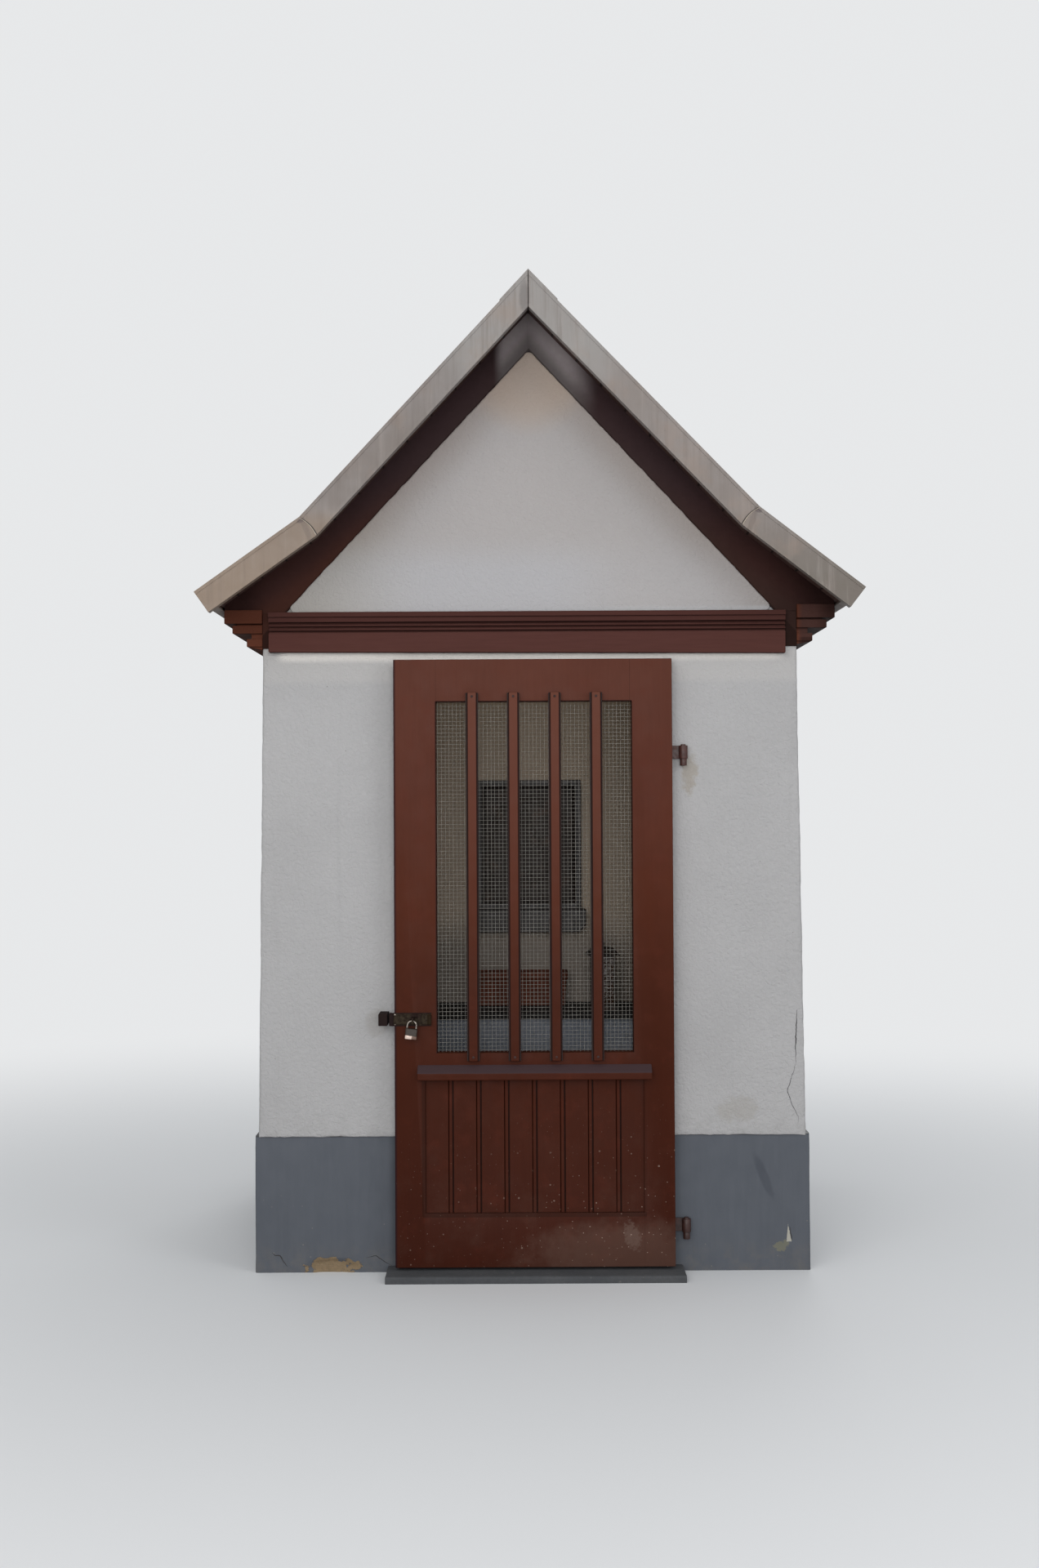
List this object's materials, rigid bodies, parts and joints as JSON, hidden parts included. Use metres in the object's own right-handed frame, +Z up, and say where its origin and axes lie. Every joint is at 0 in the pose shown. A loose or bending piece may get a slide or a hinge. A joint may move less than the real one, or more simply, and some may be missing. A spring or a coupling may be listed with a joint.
{
  "type": "wayside shrine",
  "caption": "Small rendered masonry shrine with a bell-cast sheet-metal roof, moulded cornices, a barred wooden door with a slide bolt and padlock, and an altar inside.",
  "frame": {"origin": "middle of the overall footprint at ground level", "axes": "+Z up; the doorway faces -Y; X runs along the front wall"},
  "size_m": [2.066, 1.84, 3.1494],
  "materials": {
    "render": "rough lime render, light grey-white",
    "plinth_paint": "smooth blue-grey masonry paint",
    "concrete": "worn grey concrete",
    "trim_paint": "satin dark red-brown paint",
    "soffit_wood": "dark brown stained boards",
    "sheet_metal": "weathered grey-taupe coated sheet",
    "altar_plaster": "pale bluish plaster",
    "dark_slab": "dark honed stone",
    "dark_wood": "dark stained wood",
    "relief": "grey-brown carved relief",
    "terracotta": "matt terracotta",
    "soil": "dry dark soil",
    "lantern_iron": "blackened iron",
    "amber_glass": "amber tinted glass",
    "door_paint": "satin red-brown paint on wood",
    "wire": "dull galvanised wire",
    "hinge_iron": "brown painted iron",
    "latch_bronze": "weathered bronze-green metal",
    "padlock_steel": "steel",
    "padlock_brass": "tarnished brass"
  },
  "bodies": {
    "building": {"floor_slab": "concrete", "threshold": "concrete", "plinth_front": "plinth_paint", "plinth_sides": "plinth_paint", "plinth_back": "plinth_paint", "wall_front": "render", "wall_over_door": "render", "wall_right": "render", "wall_left": "render", "wall_back": "render", "gable_front": "render", "gable_back": "render", "gable_render": "render", "rake_boards": "trim_paint", "cornice_front": "trim_paint", "cornice_back": "trim_paint", "corner_boards": "trim_paint", "eave_cornices": "trim_paint", "ridge_beam": "soffit_wood", "purlins": "soffit_wood", "roof_boards": "soffit_wood", "roof_sheet_right": "sheet_metal", "roof_sheet_left": "sheet_metal", "ridge_cap": "sheet_metal", "verge_front": "sheet_metal", "verge_back": "sheet_metal", "eave_boards": "sheet_metal", "altar_block": "altar_plaster", "altar_slab": "dark_slab", "relief_frame": "dark_wood", "relief_panel": "relief", "relief_console": "dark_wood", "planter_box": "terracotta", "planter_soil": "soil", "lantern_frame": "lantern_iron", "lantern_glass": "amber_glass", "lantern_roof": "lantern_iron", "hinge_pintles": "hinge_iron", "latch_keeper": "latch_bronze"},
    "door": {"door_stiles": "door_paint", "door_rails": "door_paint", "door_panel": "door_paint", "door_drip_rail": "door_paint", "window_bars": "door_paint", "wire_mesh": "wire", "hinge_straps": "hinge_iron", "latch_plate": "latch_bronze"},
    "bolt": {"latch_bolt": "latch_bronze"},
    "padlock": {"padlock_shackle": "padlock_steel", "padlock_body": "padlock_brass"}
  },
  "joints": [
    {"name": "door_hinge", "type": "hinge", "parent": "building", "child": "door", "pos_m": [0.491, -0.69, 1], "axis": [0, 0, 1], "range_deg": [0, 120]},
    {"name": "bolt_slide", "type": "slide", "parent": "door", "child": "bolt", "axis": [-1, 0, 0], "range_m": [0, 0.018]},
    {"name": "padlock_swing", "type": "hinge", "parent": "door", "child": "padlock", "pos_m": [-0.377, -0.758, 0.818], "axis": [-1, 0, 0], "range_deg": [0, 60]}
  ]
}
